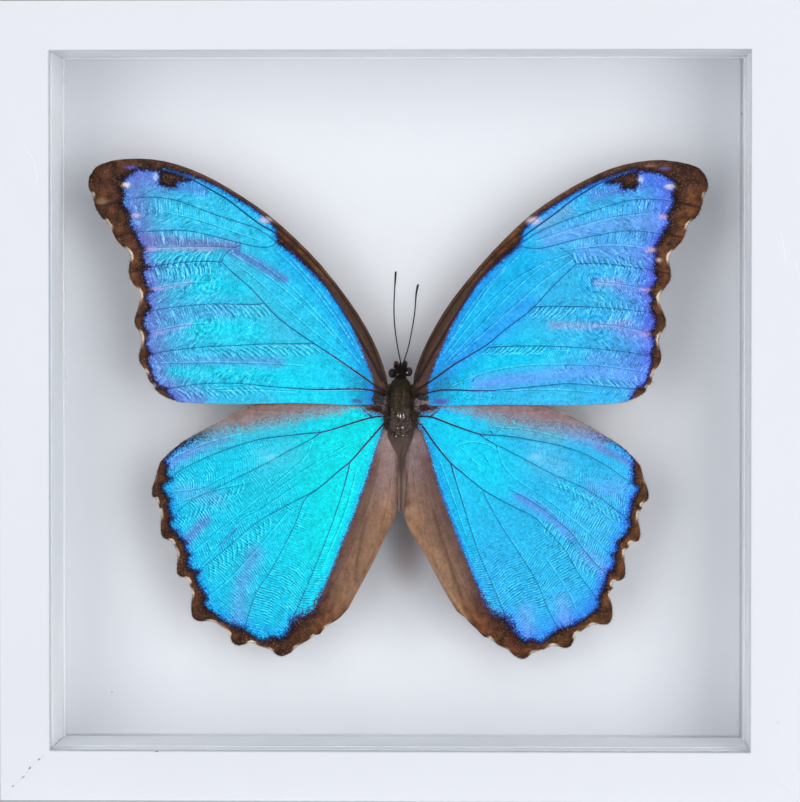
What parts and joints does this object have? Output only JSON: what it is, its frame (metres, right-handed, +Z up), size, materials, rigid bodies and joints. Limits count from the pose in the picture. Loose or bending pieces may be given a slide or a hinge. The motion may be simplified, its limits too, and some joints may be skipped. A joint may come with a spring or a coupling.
{
  "type": "framed butterfly specimen",
  "caption": "Square white box frame, glazed at the front, with a spread blue butterfly fixed in front of a white board.",
  "frame": {"origin": "middle of the frame's footprint, on the underside of the bottom rail", "axes": "+Z up the frame, -Y out of the glass, +X to the right as seen from the front"},
  "size_m": [0.18, 0.04, 0.18],
  "materials": {
    "lacquer": "white satin lacquer on wood",
    "glass": "clear picture glass",
    "card": "matt white board",
    "fibreboard": "raw brown fibreboard",
    "steel": "zinc-plated stamped steel",
    "foam": "white plastic foam",
    "fur": "dark brown hair on a horny shell",
    "wing": "structural blue scales with dark brown margins"
  },
  "bodies": {
    "root": {"rail_bottom": "lacquer", "rail_left": "lacquer", "rail_top": "lacquer", "rail_right": "lacquer", "glass_pane": "glass", "mount_board": "card", "spacer_bottom": "card", "spacer_top": "card", "spacer_left": "card", "spacer_right": "card", "backing_board": "fibreboard", "sawtooth_hanger": "steel", "hanger_nail_left": "steel", "hanger_nail_right": "steel", "tab_1": "steel", "tab_2": "steel", "tab_3": "steel", "tab_4": "steel", "tab_5": "steel", "tab_6": "steel", "tab_7": "steel", "tab_8": "steel", "specimen_post": "foam", "butterfly_body": "fur", "antenna_left": "fur", "antenna_right": "fur", "forewing_left": "wing", "forewing_right": "wing", "hindwing_left": "wing", "hindwing_right": "wing"}
  },
  "joints": []
}
